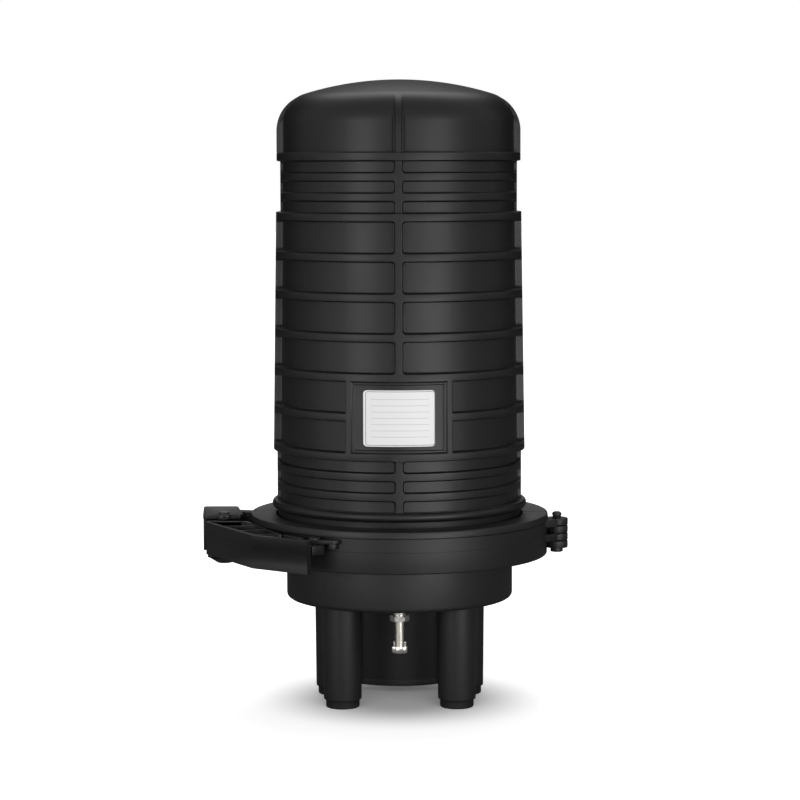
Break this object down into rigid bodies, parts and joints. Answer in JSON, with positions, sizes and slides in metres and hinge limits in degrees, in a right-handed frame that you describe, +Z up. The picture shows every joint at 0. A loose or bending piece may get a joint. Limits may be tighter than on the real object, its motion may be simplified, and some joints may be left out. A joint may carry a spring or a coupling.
{
  "type": "dome splice closure",
  "caption": "Upright fibre splice closure: ribbed plastic dome, hinged clamp ring with an over-centre latch, and a drum base with closed cable ports and an air valve.",
  "frame": {"origin": "on the dome's axis, in the plane of the round ports' tips", "axes": "+Z up along the dome's axis; -Y towards the label and the air valve; +X towards the clamp's hinge, with the latch at -X"},
  "size_m": [0.2513, 0.2127, 0.4235],
  "materials": {
    "dome": "satin",
    "base": "fine grain",
    "clamp": "satin",
    "pins": "satin black",
    "label": "matt film",
    "seal": "matt",
    "bright_metal": "plated",
    "brass": "turned",
    "steel": "satin",
    "tray": "satin",
    "clear": "clear",
    "strap": "woven"
  },
  "bodies": {
    "closure": {"dome_cover": "dome", "label": "label", "base": "base", "seal_ring": "seal", "clamp_half_rear": "clamp", "hinge_pin": "pins", "lever_pivot_pins": "pins", "valve_body": "bright_metal", "valve_washer": "seal", "valve_nut": "bright_metal", "valve_core": "brass", "bench_plate": "steel", "bench_screws": "steel", "support_frame": "steel", "cable_anchor_left": "steel", "cable_anchor_right": "steel", "anchor_screws": "steel", "tray_comb": "tray", "tray_rods": "steel", "splice_tray_1": "tray", "splice_tray_2": "tray", "splice_tray_3": "tray", "splice_tray_4": "tray", "tray_lid": "clear", "slack_basket": "tray", "tray_strap": "strap"},
    "front_half": {"clamp_half_front": "clamp", "lug_pin": "pins"},
    "lever": {"latch_lever": "clamp", "link_pin": "pins"},
    "link": {"draw_link": "clamp"},
    "valve_cap": {"valve_cap": "bright_metal"}
  },
  "joints": [
    {"name": "latch_lever", "type": "hinge", "parent": "closure", "child": "lever", "pos_m": [-0.1193, -0.01, 0.115], "axis": [0, 0, -1], "range_deg": [0, 90]},
    {"name": "draw_link", "type": "hinge", "parent": "lever", "child": "link", "pos_m": [-0.12498, -0.00354, 0.115], "axis": [0, 0, 1], "range_deg": [0, 85]},
    {"name": "clamp_hinge", "type": "hinge", "parent": "closure", "child": "front_half", "pos_m": [0.1076, -0.005, 0.115], "axis": [0, 0, 1], "range_deg": [0, 1.5]},
    {"name": "valve_cap", "type": "slide", "parent": "closure", "child": "valve_cap", "axis": [0, 0, -1], "range_m": [0, 0.009]}
  ],
  "couplings": [
    {"joint": "draw_link", "follows": "latch_lever", "ratio": 0.9167},
    {"joint": "clamp_hinge", "follows": "latch_lever", "ratio": 0.014}
  ]
}
